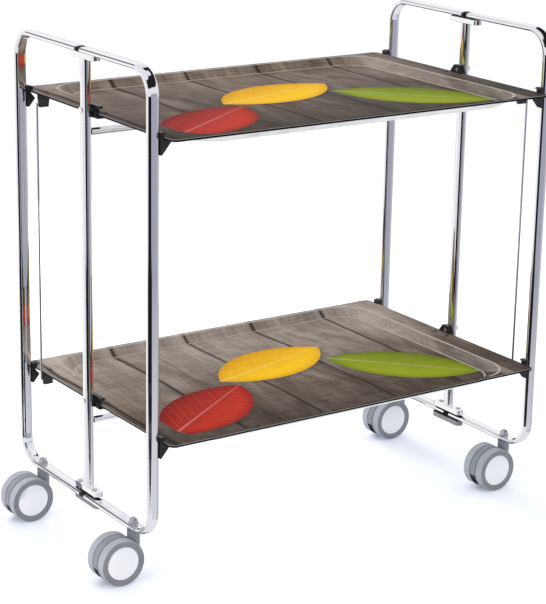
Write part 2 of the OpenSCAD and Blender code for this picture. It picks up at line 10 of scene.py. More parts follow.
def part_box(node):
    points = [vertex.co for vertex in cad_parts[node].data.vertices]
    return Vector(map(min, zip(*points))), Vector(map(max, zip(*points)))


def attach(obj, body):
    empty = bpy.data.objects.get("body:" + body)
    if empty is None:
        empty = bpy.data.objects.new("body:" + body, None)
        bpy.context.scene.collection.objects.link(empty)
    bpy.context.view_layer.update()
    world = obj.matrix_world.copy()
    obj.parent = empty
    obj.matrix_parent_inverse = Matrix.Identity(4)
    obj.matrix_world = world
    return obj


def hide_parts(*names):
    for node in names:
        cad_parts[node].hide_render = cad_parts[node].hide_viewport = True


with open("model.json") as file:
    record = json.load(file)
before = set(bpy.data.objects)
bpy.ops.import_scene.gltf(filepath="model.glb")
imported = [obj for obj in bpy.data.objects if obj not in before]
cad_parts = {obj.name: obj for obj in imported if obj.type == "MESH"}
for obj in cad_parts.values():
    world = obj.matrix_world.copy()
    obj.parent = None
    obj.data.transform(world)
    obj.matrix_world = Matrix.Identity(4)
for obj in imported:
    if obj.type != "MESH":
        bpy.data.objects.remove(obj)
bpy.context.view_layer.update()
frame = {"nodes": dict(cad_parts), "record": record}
cad = frame["nodes"]
body_of = {node: body for body, group in frame["record"]["behaviour"]["bodies"].items() for node in group}
middle_x = sum(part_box("upper_tray")[k].x for k in (0, 1)) / 2


# The half frames are flat steel tubes, 17 x 7.5 mm with crowned edges, bent twice on a former
# and chrome plated. Each is a C that hangs on two upright pins beside the centre post.
TUBE_WIDTH = 0.017
TUBE_THICKNESS = 0.0075
TUBE_CORNER = 0.003
TUBE_SHOULDER = 0.0062
BEND_RADIUS = 0.034
BAR_END = 0.006


def new_finish(name, **sockets):
    """A material whose Principled sockets are set to plain numbers and colours."""
    finish = bpy.data.materials.new(name)
    finish.use_nodes = True
    shader = finish.node_tree.nodes["Principled BSDF"]
    for socket, value in sockets.items():
        shader.inputs[socket.replace("_", " ")].default_value = value
    return finish


def add(finish, kind, *links, **sockets):
    """A shader node whose inputs are set by name or linked in order, as pairs of socket and output."""
    node = finish.node_tree.nodes.new("ShaderNode" + kind)
    for key, value in sockets.items():
        if hasattr(node, key):
            setattr(node, key, value)
        else:
            node.inputs[key.replace("_", " ")].default_value = value
    for socket, output in links:
        finish.node_tree.links.new(output, node.inputs[socket])
    return node


def feed(finish, socket, output):
    """Links an output to the Principled shader."""
    finish.node_tree.links.new(output, finish.node_tree.nodes["Principled BSDF"].inputs[socket])


def ramp(finish, factor, *stops):
    """A colour ramp through (position, colour) stops; the colours are linear RGB."""
    node = add(finish, "ValToRGB", ("Fac", factor))
    band = node.color_ramp.elements
    while len(band) < len(stops):
        band.new(1.0)
    for element, (position, colour) in zip(band, stops):
        element.position = position
        element.color = (*colour, 1.0) if len(colour) == 3 else colour
    return node.outputs["Color"]


def noise(finish, place, scale, detail, **settings):
    """Noise over a place, from 0 to 1: the scale says how many waves go into a metre."""
    return add(finish, "TexNoise", ("Vector", place), Scale=scale, Detail=detail, **settings).outputs["Fac"]


def between(finish, value, start, end, low, high, blend="LINEAR"):
    """Takes a value that runs from start to end, and returns it running from low to high."""
    step = add(finish, "MapRange", ("Value", value), interpolation_type=blend,
               From_Min=start, From_Max=end, To_Min=low, To_Max=high)
    return step.outputs["Result"]


def raised(finish, height, strength, depth):
    """Lets a height stand out of the surface: the normal leans with its slope."""
    bump = add(finish, "Bump", ("Height", height), Strength=strength, Distance=depth)
    feed(finish, "Normal", bump.outputs["Normal"])


def chrome_finish(name, tint, dull):
    """Bright plate: a clean mirror whose roughness drifts, with faint polishing waves."""
    finish = new_finish(name, Metallic=1.0)
    place = add(finish, "TexCoord").outputs["Object"]
    haze = noise(finish, place, 38.0, 4.0)
    feed(finish, "Base Color", ramp(finish, haze, (0.3, [c * 0.965 for c in tint]), (0.7, tint)))
    feed(finish, "Roughness", between(finish, haze, 0.0, 1.0, dull, dull + 0.035))
    raised(finish, noise(finish, place, 55.0, 2.0), 0.05, 0.0006)
    return finish


def rounded_outline(width, height, radius, arc=8, straight=1, along=None):
    """A rectangle with quarter-ellipse corners, anticlockwise: the corner's centre plus its radii along the
    width and the height times the cosine and sine of the angle. Both radii are the same unless along is set."""
    corners = []
    reach = np.array([along or radius, radius])
    for quarter, (sx, sy) in enumerate(((1, 1), (-1, 1), (-1, -1), (1, -1))):
        angle = (quarter + np.linspace(0, 1, arc + 1)) * math.pi / 2
        centre = np.array([sx * (width / 2 - reach[0]), sy * (height / 2 - reach[1])])
        corners.append(centre + reach * np.stack([np.cos(angle), np.sin(angle)], 1))
    if straight > 1:
        share = np.linspace(0, 1, straight + 1)[1:-1, None]
        for k in range(4):
            start, end = corners[k][-1], corners[(k + 1) % 4][0]
            corners[k] = np.vstack([corners[k], start + (end - start) * share])
    return np.vstack(corners)


def skin(name, rings, finish, body, sharp=40, bands=None, finishes=()):
    """A closed skin over rings of points: point (i, j) is the j-th point of ring i, neighbours make quads,
    and a flat face closes the first and the last ring. bands gives each strip of quads its finish."""
    rings = np.asarray(rings, float)
    count, around = rings.shape[:2]
    i, j = np.meshgrid(np.arange(count - 1), np.arange(around), indexing="ij")
    nxt = (j + 1) % around
    quads = np.stack([i * around + j, i * around + nxt, (i + 1) * around + nxt, (i + 1) * around + j], -1)
    faces = quads.reshape(-1, 4).tolist()
    faces.append(list(range(around))[::-1])
    faces.append(list(range((count - 1) * around, count * around)))
    mesh = bpy.data.meshes.new(name)
    mesh.from_pydata(rings.reshape(-1, 3).tolist(), [], faces)
    shape = bmesh.new()
    shape.from_mesh(mesh)
    bmesh.ops.recalc_face_normals(shape, faces=shape.faces)
    shape.to_mesh(mesh)
    shape.free()
    for one in (finish, *finishes):
        mesh.materials.append(one)
    if bands is not None:
        index = np.concatenate([np.repeat(bands, around), [bands[0], bands[-1]]]).astype(np.int32)
        mesh.polygons.foreach_set("material_index", index)
    return settle(bpy.data.objects.new(name, mesh), body, sharp)


def settle(piece, body, sharp=40):
    """Shades a piece smooth up to an angle, lets its flats keep their normals and sets it on its body."""
    bpy.context.scene.collection.objects.link(piece)
    piece.data.polygons.foreach_set("use_smooth", np.ones(len(piece.data.polygons), bool))
    piece.data.set_sharp_from_angle(angle=math.radians(sharp))
    flats = piece.modifiers.new("flats", "WEIGHTED_NORMAL")
    flats.keep_sharp = True
    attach(piece, body)
    return piece


def half_frame_path(low, high, leg, bend=BEND_RADIUS, steps=14):
    """Bar, bend, leg, bend, bar in the YZ plane: points of two straight bars and a leg joined by quarter
    circles, with the unit direction that points out of the C at each."""
    turn = np.linspace(0, math.pi / 2, steps + 1)
    along = np.linspace(0, 1, 9)[1:-1]
    foot = np.stack([leg - bend + bend * np.sin(turn), low + bend - bend * np.cos(turn)], 1)
    head = np.stack([leg - bend + bend * np.cos(turn), high - bend + bend * np.sin(turn)], 1)
    rise = np.stack([np.full(len(along), leg), low + bend + (high - low - 2 * bend) * along], 1)
    bar = BAR_END + (leg - bend - BAR_END) * np.linspace(0, 1, 6)[:-1]
    points = np.vstack([np.stack([bar, np.full(5, low)], 1), foot, rise, head,
                        np.stack([bar[::-1], np.full(5, high)], 1)])
    outward = np.vstack([np.tile([0, -1], (5, 1)), np.stack([np.sin(turn), -np.cos(turn)], 1),
                         np.tile([1, 0], (len(along), 1)), np.stack([np.cos(turn), np.sin(turn)], 1),
                         np.tile([0, 1], (5, 1))])
    return points, outward


def swept(outline, points, outward, x, end):
    """Point (i, j) is path point i, plus the outline's width along X, plus its thickness along the way out."""
    ring = np.empty((len(points), len(outline), 3))
    ring[..., 0] = x + outline[None, :, 0]
    ring[..., 1] = end * (points[:, None, 0] + outline[None, :, 1] * outward[:, None, 0])
    ring[..., 2] = points[:, None, 1] + outline[None, :, 1] * outward[:, None, 1]
    return ring


chrome = chrome_finish("bright_chrome", (0.955, 0.955, 0.965), 0.018)
corners = {f"{side}_{end}": sy for side in ("left", "right") for end, sy in (("front", -1), ("rear", 1))}
for corner, sy in corners.items():
    low_corner, high_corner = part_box(f"{corner}_tube")
    half = TUBE_THICKNESS / 2
    leg_y = max(abs(low_corner.y), abs(high_corner.y)) - half
    path, way_out = half_frame_path(low_corner.z + half, high_corner.z - half, leg_y)
    section = rounded_outline(TUBE_WIDTH, TUBE_THICKNESS, TUBE_CORNER, 12, 1, TUBE_SHOULDER)
    tube = swept(section, path, way_out, (low_corner.x + high_corner.x) / 2, sy)
    piece = skin(f"{corner}_half_frame", tube, chrome, body_of[f"{corner}_tube"])
    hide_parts(f"{corner}_tube")


# Black plugs close the bars' sawn ends: a moulded cap with the tube's outline and soft edges,
# pushed in so that the two half frames nearly meet above and below the posts.
PLUG_TIP = 0.0015
PLUG_CROWN = 0.0026
PLUG_OVERLAP = 0.0004


def shaded(finish, level, colour, dark, light):
    """A colour that runs with a level from a darker share of itself to a lighter one."""
    low, high = ([c * share for c in colour] for share in (dark, light))
    return ramp(finish, level, (0.25, low), (0.75, high))


def moulded_finish(name, colour, rough, grain):
    """Moulded plastic: an even colour with slight clouds, and a fine spark-eroded grain in the surface."""
    finish = new_finish(name, Specular_IOR_Level=0.45)
    place = add(finish, "TexCoord").outputs["Object"]
    cloud = noise(finish, place, 45.0, 5.0)
    feed(finish, "Base Color", shaded(finish, cloud, colour, 0.86, 1.1))
    feed(finish, "Roughness", between(finish, cloud, 0.0, 1.0, rough - 0.06, rough + 0.08))
    raised(finish, noise(finish, place, grain, 3.0), 0.22, 0.0002)
    return finish


black_plastic = moulded_finish("black_plastic", (0.012, 0.012, 0.014), 0.34, 1400.0)
for corner, sy in corners.items():
    low_corner, high_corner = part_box(f"{corner}_tube")
    x = (low_corner.x + high_corner.x) / 2
    caps = []
    for z in (low_corner.z + TUBE_THICKNESS / 2, high_corner.z - TUBE_THICKNESS / 2):
        rings = []
        for share in np.linspace(0, 1, 7):
            inset = PLUG_CROWN * (1 - math.sin(share * math.pi / 2))
            outline = rounded_outline(TUBE_WIDTH - 2 * inset, TUBE_THICKNESS - inset * 0.9,
                                      TUBE_CORNER - inset * 0.4, 8, 1, TUBE_SHOULDER - inset * 0.4)
            y = PLUG_TIP + PLUG_CROWN * (1 - math.cos(share * math.pi / 2))
            rings.append(np.stack([x + outline[:, 0], np.full(len(outline), sy * y), z + outline[:, 1]], 1))
        seat = np.full(len(outline), sy * (BAR_END + PLUG_OVERLAP))
        rings.append(np.stack([rings[-1][:, 0], seat, rings[-1][:, 2]], 1))
        caps.append(rings)
    for place, rings in zip(("lower", "upper"), caps):
        piece = skin(f"{corner}_{place}_plug", rings, black_plastic, body_of[f"{corner}_plugs"],
                     50)
        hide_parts(f"{corner}_plugs")


# Two straight round tubes are the centre posts. They carry the pins that the trays tilt on,
# and pressed channels on their ends hold the half frames' hinge pins.
BROKEN_EDGE = 0.0003


def turned(name, profile, centre, axis, finish, body, around=40, sharp=40, bands=None, finishes=()):
    """A profile of (radius, distance along the axis) turned about the axis: x = r cos t, y = r sin t."""
    profile = np.asarray(profile, float)
    angle = np.linspace(0, 2 * math.pi, around, endpoint=False)
    one, two = [k for k in range(3) if k != axis]
    rings = np.empty((len(profile), around, 3))
    rings[..., axis] = centre[axis] + profile[:, 1, None]
    rings[..., one] = centre[one] + profile[:, 0, None] * np.cos(angle)
    rings[..., two] = centre[two] + profile[:, 0, None] * np.sin(angle)
    return skin(name, rings, finish, body, sharp, bands, finishes)


def looks_inside(face, middle):
    """A face of a channel that looks down, or in towards its middle."""
    return face.normal.z < -0.5 or (face.calc_center_median().x - middle.x) * face.normal.x < -1e-6


def softened(node, name, width, finish, segments=2, angle=35, sharp=35, inside=None, chosen=looks_inside):
    """A copy of a node's mesh with its doubles merged, its flat faces joined and its edges rounded. The chosen
    faces take the inside's finish, if one is given, which is a painted shade."""
    mesh = cad[node].data.copy()
    mesh.name = name
    mesh.materials.clear()
    mesh.materials.append(finish)
    mesh.polygons.foreach_set("material_index", np.zeros(len(mesh.polygons), np.int32))
    shape = bmesh.new()
    shape.from_mesh(mesh)
    bmesh.ops.remove_doubles(shape, verts=shape.verts, dist=1e-6)
    bmesh.ops.dissolve_limit(shape, angle_limit=math.radians(1.0), verts=shape.verts, edges=shape.edges)
    if inside:
        mesh.materials.append(inside)
        middle = sum(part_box(node), Vector()) / 2
        for face in shape.faces:
            face.material_index = int(chosen(face, middle))
    shape.to_mesh(mesh)
    shape.free()
    piece = bpy.data.objects.new(name, mesh)
    edge = piece.modifiers.new("edges", "BEVEL")
    edge.width, edge.segments, edge.limit_method = width, segments, "ANGLE"
    edge.angle_limit, edge.use_clamp_overlap, edge.harden_normals = math.radians(angle), True, False
    settle(piece, body_of[node], sharp)
    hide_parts(node)
    return piece


# The foot channels' faces that look down or in are painted near black: a painted shade where the channel shades
# itself and the bar below.
painted_shade_inside = moulded_finish("painted_shade_inside", (0.02, 0.02, 0.022), 0.6, 500.0)
for side in ("left", "right"):
    low_corner, high_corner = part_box(f"{side}_post")
    radius = (high_corner.x - low_corner.x) / 2
    height = high_corner.z - low_corner.z
    centre = ((low_corner.x + high_corner.x) / 2, 0.0, low_corner.z)
    wall = [(radius - BROKEN_EDGE, 0.0), (radius, BROKEN_EDGE)]
    wall += [(radius, height * share) for share in np.linspace(0.02, 0.98, 12)]
    wall += [(radius, height - BROKEN_EDGE), (radius - BROKEN_EDGE, height)]
    piece = turned(f"{side}_centre_post", wall, centre, 2, chrome, body_of[f"{side}_post"], 48)
    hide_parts(f"{side}_post")
    for place in ("top", "foot"):
        softened(f"{side}_{place}_channel", f"{side}_{place}_pressing", 0.0005, chrome,
                 inside=painted_shade_inside if place == "foot" else None)


# The lower channels are plain zinc-plated pressings, duller than the chrome, with the hinge pins
# riveted over in them. The pins that carry the trays have flat heads outside the posts.
def zinc_finish(name, colour, rough):
    """Zinc plate: grey metal with a fine spangle of lighter and darker grains and a soft uneven surface."""
    finish = new_finish(name, Metallic=1.0)
    place = add(finish, "TexCoord").outputs["Object"]
    grains = add(finish, "TexVoronoi", ("Vector", place), Scale=420.0).outputs["Color"]
    cloud = noise(finish, place, 90.0, 6.0)
    level = add(finish, "Mix", ("A", grains), ("B", cloud), Factor=0.7).outputs["Result"]
    feed(finish, "Base Color", shaded(finish, level, colour, 0.8, 1.15))
    feed(finish, "Roughness", between(finish, cloud, 0.0, 1.0, rough, rough + 0.15))
    raised(finish, cloud, 0.12, 0.0004)
    return finish


zinc = zinc_finish("zinc_plate", (0.36, 0.365, 0.38), 0.34)
turned_steel = zinc_finish("turned_steel", (0.6, 0.6, 0.62), 0.2)
softened("lower_channels", "lower_pressings", 0.0005, zinc)
softened("hinge_pins", "upright_pins", 0.0003, turned_steel)
softened("tray_pivot_pins", "tray_pins", 0.0003, chrome)


# Each tray is one moulded sheet with a flat rim and a shallow well. Its top carries a print of
# weathered boards with three leaves; its edge is black and its underside pale.
TRAY_HALF = (0.300, 0.198)
WELL_HALF = (0.266, 0.191)
FLOOR_HALF = (0.2476, 0.1757)
RIM_CORNER = 0.009
WELL_CORNER = 0.044
FLOOR_CORNER = 0.040
WELL_DEPTH = 0.0107
SHELL_GROWTH = 0.0009
SHEET = 0.003
FOLD = 0.0012
EDGE_STEPS = 5
RIM_HIGHLIGHT_STEPS = 2
FOLD_HIGHLIGHT_FROM = (0.22, 0.12)
RIGHT_WALL = 0.2565
BOARD = 0.122
FIRST_JOINT = 0.045
BOARD_SWAY = 0.018
GROOVE = 0.0105
LEAF_BREADTH = 0.50
LEAF_SHADOW = (0.003, -0.004)
# Each leaf: its middle, its half length, its heading in degrees, its bright and its deep colour.
LEAVES = (
    ((-0.172, -0.078), 0.112, 34.0, (0.47, 0.024, 0.009), (0.15, 0.005, 0.003)),
    ((0.008, 0.038), 0.108, 16.0, (0.86, 0.50, 0.003), (0.58, 0.25, 0.002)),
    ((0.170, -0.062), 0.112, -46.0, (0.27, 0.32, 0.006), (0.10, 0.14, 0.004)),
)


def leaf_mask(finish, place, centre, half_length, turn, soft=0.0007, shift=0.0):
    """A leaf is where two equal circles overlap: their distances give how far inside the outline a point is.
    The edge fades over soft on either side, and shift moves it outwards. Returns the mask, the way along the
    leaf and the way across it, all from Object coordinates."""
    width = half_length * LEAF_BREADTH
    reach = (half_length ** 2 + width ** 2) / (2 * width)
    turned_place = add(finish, "Mapping", ("Vector", place), vector_type="TEXTURE")
    turned_place.inputs["Location"].default_value = (middle_x + centre[0], centre[1], 0)
    turned_place.inputs["Rotation"].default_value = (0, 0, math.radians(turn))
    parts = add(finish, "SeparateXYZ", ("Vector", turned_place.outputs["Vector"]))
    flat = add(finish, "CombineXYZ", ("X", parts.outputs["X"]), ("Y", parts.outputs["Y"])).outputs["Vector"]
    far = []
    for side in (-1, 1):
        gap = add(finish, "VectorMath", operation="DISTANCE")
        finish.node_tree.links.new(flat, gap.inputs[0])
        gap.inputs[1].default_value = (0, side * (reach - width), 0)
        far.append(gap.outputs["Value"])
    widest = add(finish, "Math", (0, far[0]), (1, far[1]), operation="MAXIMUM").outputs["Value"]
    edge = reach + shift
    mask = between(finish, widest, edge - soft, edge + soft, 1.0, 0.0, "SMOOTHSTEP")
    return mask, parts.outputs["X"], parts.outputs["Y"]


def math_node(finish, operation, *values):
    """One step of arithmetic on numbers or outputs."""
    node = add(finish, "Math", operation=operation)
    for k, value in enumerate(values):
        if isinstance(value, (int, float)):
            node.inputs[k].default_value = value
        else:
            finish.node_tree.links.new(value, node.inputs[k])
    return node.outputs["Value"]


def blend_colours(finish, share, below, above, mode="MIX"):
    """Lays one colour over another by a share."""
    node = add(finish, "MixRGB", blend_type=mode)
    for socket, value in (("Fac", share), ("Color1", below), ("Color2", above)):
        if isinstance(value, (int, float)):
            node.inputs[socket].default_value = value
        elif isinstance(value, tuple):
            node.inputs[socket].default_value = (*value, 1.0)
        else:
            finish.node_tree.links.new(value, node.inputs[socket])
    return node.outputs["Color"]


def stretched(finish, place, *scale):
    """A place drawn out or squeezed along each axis, for a pattern that runs one way."""
    return add(finish, "Mapping", ("Vector", place), Scale=scale).outputs["Vector"]


def leaf_over(finish, place, under, centre, half_length, turn, bright, deep):
    """Lays a leaf over the print: a soft shadow, then a blade that darkens to one side and to its edge, with
    a middle rib that tapers and slanting veins, which come back at equal distances along the leaf."""
    mask, along, across = leaf_mask(finish, place, centre, half_length, turn)
    fallen = (centre[0] + LEAF_SHADOW[0], centre[1] + LEAF_SHADOW[1])
    shadow = leaf_mask(finish, place, fallen, half_length, turn, soft=0.009)[0]
    under = blend_colours(finish, math_node(finish, "MULTIPLY", shadow, 0.5), under, (0.016, 0.012, 0.010))
    mottle = noise(finish, place, 60.0, 6.0, Roughness=0.7)
    mottle = math_node(finish, "MULTIPLY_ADD", mottle, 0.5, 0.32)
    side = math_node(finish, "MULTIPLY_ADD", across, -6.0, mottle)
    blade = ramp(finish, side, (0.1, deep), (0.75, bright))
    inner = leaf_mask(finish, place, centre, half_length, turn, soft=0.010, shift=-0.008)[0]
    blade = blend_colours(finish, math_node(finish, "MULTIPLY_ADD", inner, -0.6, 0.6), blade, deep)
    rib = math_node(finish, "ABSOLUTE", across)
    taper = math_node(finish, "MULTIPLY_ADD", along, -0.006, 0.0013)
    middle = math_node(finish, "LESS_THAN", rib, taper)
    lean = math_node(finish, "SUBTRACT", along, math_node(finish, "MULTIPLY", rib, 1.1))
    vein = math_node(finish, "PINGPONG", lean, 0.0085)
    veins = math_node(finish, "MULTIPLY", math_node(finish, "LESS_THAN", vein, 0.00045), 0.4)
    line = math_node(finish, "MAXIMUM", middle, veins)
    pale = tuple(min(1.0, c * 0.6 + 0.28) for c in bright)
    blade = blend_colours(finish, math_node(finish, "MULTIPLY", line, 0.45), blade, pale)
    return blend_colours(finish, mask, under, blade)


def printed_boards(name, front, back, back_sheen):
    """Boards run along Y: each gets its own tone, long streaks of grain, cross scratches and a dark joint that
    wavers. The brightness rises from front to back, partly the print's own vignette and partly painted light.
    Towards the back and along the right end wall a share of lighter wood is mixed in, a painted sheen. Leaves
    are laid over it."""
    finish = new_finish(name, Specular_IOR_Level=0.02)
    place = add(finish, "TexCoord").outputs["Object"]
    parts = add(finish, "SeparateXYZ", ("Vector", place))
    x, y = parts.outputs["X"], parts.outputs["Y"]
    sway = noise(finish, place, 7.0, 3.0)
    drift = math_node(finish, "MULTIPLY", math_node(finish, "SUBTRACT", sway, 0.5), BOARD_SWAY)
    board = math_node(finish, "ADD", math_node(finish, "ADD", x, drift), FIRST_JOINT - middle_x + 8 * BOARD)
    board = math_node(finish, "DIVIDE", board, BOARD)
    number = math_node(finish, "FLOOR", board)
    within = math_node(finish, "FRACT", board)
    other_side = math_node(finish, "SUBTRACT", 1.0, within)
    joint = math_node(finish, "MULTIPLY", math_node(finish, "MINIMUM", within, other_side), BOARD)
    seat = add(finish, "CombineXYZ", ("X", x), ("Y", y), ("Z", math_node(finish, "MULTIPLY", number, 3.7)))
    long_way = stretched(finish, seat.outputs["Vector"], 1.0, 0.055, 1.0)
    broad_way = stretched(finish, seat.outputs["Vector"], 1.0, 0.3, 1.0)
    cross_way = stretched(finish, place, 0.05, 1.0, 1.0)
    grain = noise(finish, long_way, 230.0, 7.0, Roughness=0.66, Distortion=0.35)
    figure = noise(finish, broad_way, 22.0, 6.0, Roughness=0.62, Distortion=1.0)
    scratch = noise(finish, cross_way, 520.0, 3.0)
    cloud = noise(finish, place, 5.5, 4.0)
    tone = add(finish, "TexWhiteNoise", ("W", number), noise_dimensions="1D").outputs["Value"]
    level = math_node(finish, "MULTIPLY", grain, 0.24)
    for part, share in ((figure, 0.44), (scratch, 0.20), (tone, 0.07)):
        level = math_node(finish, "ADD", level, math_node(finish, "MULTIPLY", part, share))
    wood = ramp(finish, level, (0.34, (0.022, 0.014, 0.010)), (0.45, (0.078, 0.055, 0.041)),
                (0.55, (0.148, 0.113, 0.090)), (0.68, (0.255, 0.208, 0.172)))
    # Brighter towards the back: partly the print's own vignette, partly painted light.
    way_back = math_node(finish, "ADD", y, math_node(finish, "MULTIPLY", cloud, 0.10))
    vignette_and_painted_light = between(finish, way_back, -0.13, 0.22, front, back)
    light = add(finish, "CombineColor", ("Red", vignette_and_painted_light), ("Green", vignette_and_painted_light), ("Blue", vignette_and_painted_light)).outputs["Color"]
    wood = blend_colours(finish, 1.0, wood, light, "MULTIPLY")
    # Lighter wood for a painted sheen, towards the back and on the right end wall.
    sheen_wood = ramp(finish, level, (0.36, (0.17, 0.145, 0.125)), (0.5, (0.36, 0.315, 0.275)),
                     (0.66, (0.56, 0.505, 0.45)))
    # A painted sheen: lighter wood mixed in towards the back.
    way_back = math_node(finish, "ADD", y, math_node(finish, "MULTIPLY", cloud, 0.12))
    wood = blend_colours(finish, between(finish, way_back, -0.01, 0.23, 0.0, back_sheen), wood, sheen_wood)
    # A painted sheen along the right end wall.
    from_wall = math_node(finish, "ABSOLUTE", math_node(finish, "SUBTRACT", x, middle_x + RIGHT_WALL))
    wood = blend_colours(finish, between(finish, from_wall, 0.0065, 0.0105, 0.5, 0.0), wood, sheen_wood)
    width = math_node(finish, "MULTIPLY", noise(finish, long_way, 40.0, 2.0), GROOVE)
    groove = add(finish, "MapRange", ("Value", joint), ("From Max", width), interpolation_type="SMOOTHSTEP",
                 From_Min=0.0002, To_Min=0.88, To_Max=0.0).outputs["Result"]
    top = blend_colours(finish, groove, wood, (0.014, 0.010, 0.008))
    for leaf in LEAVES:
        top = leaf_over(finish, place, top, *leaf)
    feed(finish, "Base Color", top)
    feed(finish, "Roughness", between(finish, figure, 0.0, 1.0, 0.38, 0.55))
    raised(finish, grain, 0.10, 0.0002)
    return finish


def tray_rings(rim, fine=10):
    """Rings from the middle of the underside round the edge to the middle of the floor. Each is a rounded
    rectangle; half sizes, corner radius and height follow the section. Each wall is a straight slope
    between two short smooth folds. Returns the rings and the first ring of the rim, wall and floor."""
    section = []

    def wall(a, b, start, end):
        """From half sizes and radius a to b, with the height between start and end: flat, fold, slope, fold."""
        for share in np.linspace(0, 1, fine):
            height = min(1.0, max(0.0, (share - 0.08) / 0.84))
            section.append([*(a[k] + (b[k] - a[k]) * share for k in range(3)), start + (end - start) * height])

    edge = 0.0011
    fillet = 0.001
    over = (WELL_HALF[0] + SHELL_GROWTH, WELL_HALF[1] + SHELL_GROWTH, WELL_CORNER + fillet)
    under = (FLOOR_HALF[0] + SHELL_GROWTH, FLOOR_HALF[1] + SHELL_GROWTH, FLOOR_CORNER + fillet)
    for share in (0.25, 0.6, 0.9):
        section.append([under[0] * share, under[1] * share, under[2] * share, -WELL_DEPTH - SHEET])
    wall(under, over, -WELL_DEPTH - SHEET, -SHEET)
    section.append([TRAY_HALF[0] - edge, TRAY_HALF[1] - edge, RIM_CORNER - fillet, -SHEET])
    for angle in np.linspace(0, math.pi / 2, EDGE_STEPS):
        out = edge * (1 - math.sin(angle))
        z = -SHEET + edge * (1 - math.cos(angle))
        section.append([TRAY_HALF[0] - out, TRAY_HALF[1] - out, RIM_CORNER - out, z])
    for angle in np.linspace(0, math.pi / 2, EDGE_STEPS):
        out = edge * (1 - math.cos(angle))
        z = -edge + edge * math.sin(angle)
        section.append([TRAY_HALF[0] - out, TRAY_HALF[1] - out, RIM_CORNER - out, z])
    rim_ring = len(section) - 1
    section.append([WELL_HALF[0] + FOLD, WELL_HALF[1] + FOLD, WELL_CORNER + FOLD, 0.0])
    wall_ring = len(section)
    wall((*WELL_HALF, WELL_CORNER), (*FLOOR_HALF, FLOOR_CORNER), 0.0, -WELL_DEPTH)
    floor_ring = len(section) - 1
    section.append([FLOOR_HALF[0] - FOLD, FLOOR_HALF[1] - FOLD, FLOOR_CORNER - FOLD, -WELL_DEPTH])
    for share in (0.9, 0.6, 0.25):
        corner = (FLOOR_CORNER - fillet) * share
        section.append([FLOOR_HALF[0] * share, FLOOR_HALF[1] * share, corner, -WELL_DEPTH])
    rings = []
    for half_x, half_y, radius, z in section:
        outline = rounded_outline(2 * half_x, 2 * half_y, radius, 16, 10)
        rings.append(np.column_stack([middle_x + outline[:, 0], outline[:, 1], np.full(len(outline), rim + z)]))
    return rings, rim_ring, wall_ring, floor_ring


# The upper tray takes a darker copy of the print and the lower a lighter one: painted shade and painted light
# on one print.
boards = {"upper": printed_boards("upper_print_shaded", 0.45, 1.5, 0.20),
          "lower": printed_boards("lower_print_lit", 0.66, 1.9, 0.75)}
pale_back = moulded_finish("pale_back", (0.80, 0.80, 0.80), 0.5, 900.0)
black_edge = moulded_finish("black_edge", (0.008, 0.007, 0.007), 0.5, 900.0)
black_edge.node_tree.nodes["Principled BSDF"].inputs["Specular IOR Level"].default_value = 0.08
# The rolled edge's top corner is a lighter grey: a painted highlight.
rim_highlight = moulded_finish("rim_highlight", (0.30, 0.28, 0.255), 0.4, 900.0)
# Pale lines along the well's folds towards the back and the right end: a painted highlight.
fold_highlight = moulded_finish("fold_highlight", (0.38, 0.345, 0.30), 0.5, 900.0)
for place in ("upper", "lower"):
    rings, rim_ring, wall_ring, floor_ring = tray_rings(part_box(f"{place}_tray")[1].z)
    strips = np.zeros(len(rings) - 1, int)
    strips[: rim_ring - 2 * EDGE_STEPS] = 1
    strips[rim_ring - 2 * EDGE_STEPS : rim_ring - RIM_HIGHLIGHT_STEPS] = 2
    # The painted highlight on the edge's top corner.
    strips[rim_ring - RIM_HIGHLIGHT_STEPS : rim_ring] = 3
    piece = skin(f"{place}_printed_tray", rings, boards[place], body_of[f"{place}_tray"], 60, strips,
                 (pale_back, black_edge, rim_highlight, fold_highlight))
    around = len(rings[0])
    # The folds towards the right end and the back take the painted highlight.
    for strip in (wall_ring - 1, wall_ring, floor_ring - 1):
        for face in piece.data.polygons[strip * around : (strip + 1) * around]:
            if face.center.x > middle_x + FOLD_HIGHLIGHT_FROM[0] or face.center.y > FOLD_HIGHLIGHT_FROM[1]:
                face.material_index = 4
    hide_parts(f"{place}_tray")


# Under each tray a thin chrome tube runs from post to post. Two moulded clamps hold it to the
# floor, so that it turns with the tray; its bore shows at the ends.
ROD_WALL = 0.0012
ROD_LIP = 0.0002
BORE_DEPTH = 0.012
for place in ("upper", "lower"):
    low_corner, high_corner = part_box(f"{place}_tray_rod")
    radius = (high_corner.z - low_corner.z) / 2
    length = high_corner.x - low_corner.x
    centre = (low_corner.x, 0.0, low_corner.z + radius)
    bore = radius - ROD_WALL
    profile = [(bore, BORE_DEPTH), (bore, ROD_LIP), (radius - BROKEN_EDGE, 0.0), (radius, BROKEN_EDGE)]
    profile += [(radius, length * share) for share in np.linspace(0.02, 0.98, 12)]
    profile += [(radius, length - BROKEN_EDGE), (radius - BROKEN_EDGE, length),
                (bore, length - ROD_LIP), (bore, length - BORE_DEPTH)]
    piece = turned(f"{place}_stiffening_rod", profile, centre, 0, chrome, body_of[f"{place}_tray_rod"],
                   32)
    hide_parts(f"{place}_tray_rod")
    softened(f"{place}_rod_clamps", f"{place}_rod_saddles", 0.0007, black_plastic)


# Black pivot blocks grip the trays' ends and turn on the posts' pins. Two rivets with browned
# heads go through the rim into each, and one more holds each link clip.
browned = zinc_finish("browned_rivet", (0.10, 0.075, 0.06), 0.3)
for place in ("upper", "lower"):
    softened(f"{place}_pivot_blocks", f"{place}_pivot_grips", 0.0008, black_plastic)
    softened(f"{place}_link_clips", f"{place}_rod_clips", 0.0006, black_plastic)
    cad[f"{place}_rivets"].data.materials.clear()
    cad[f"{place}_rivets"].data.materials.append(browned)


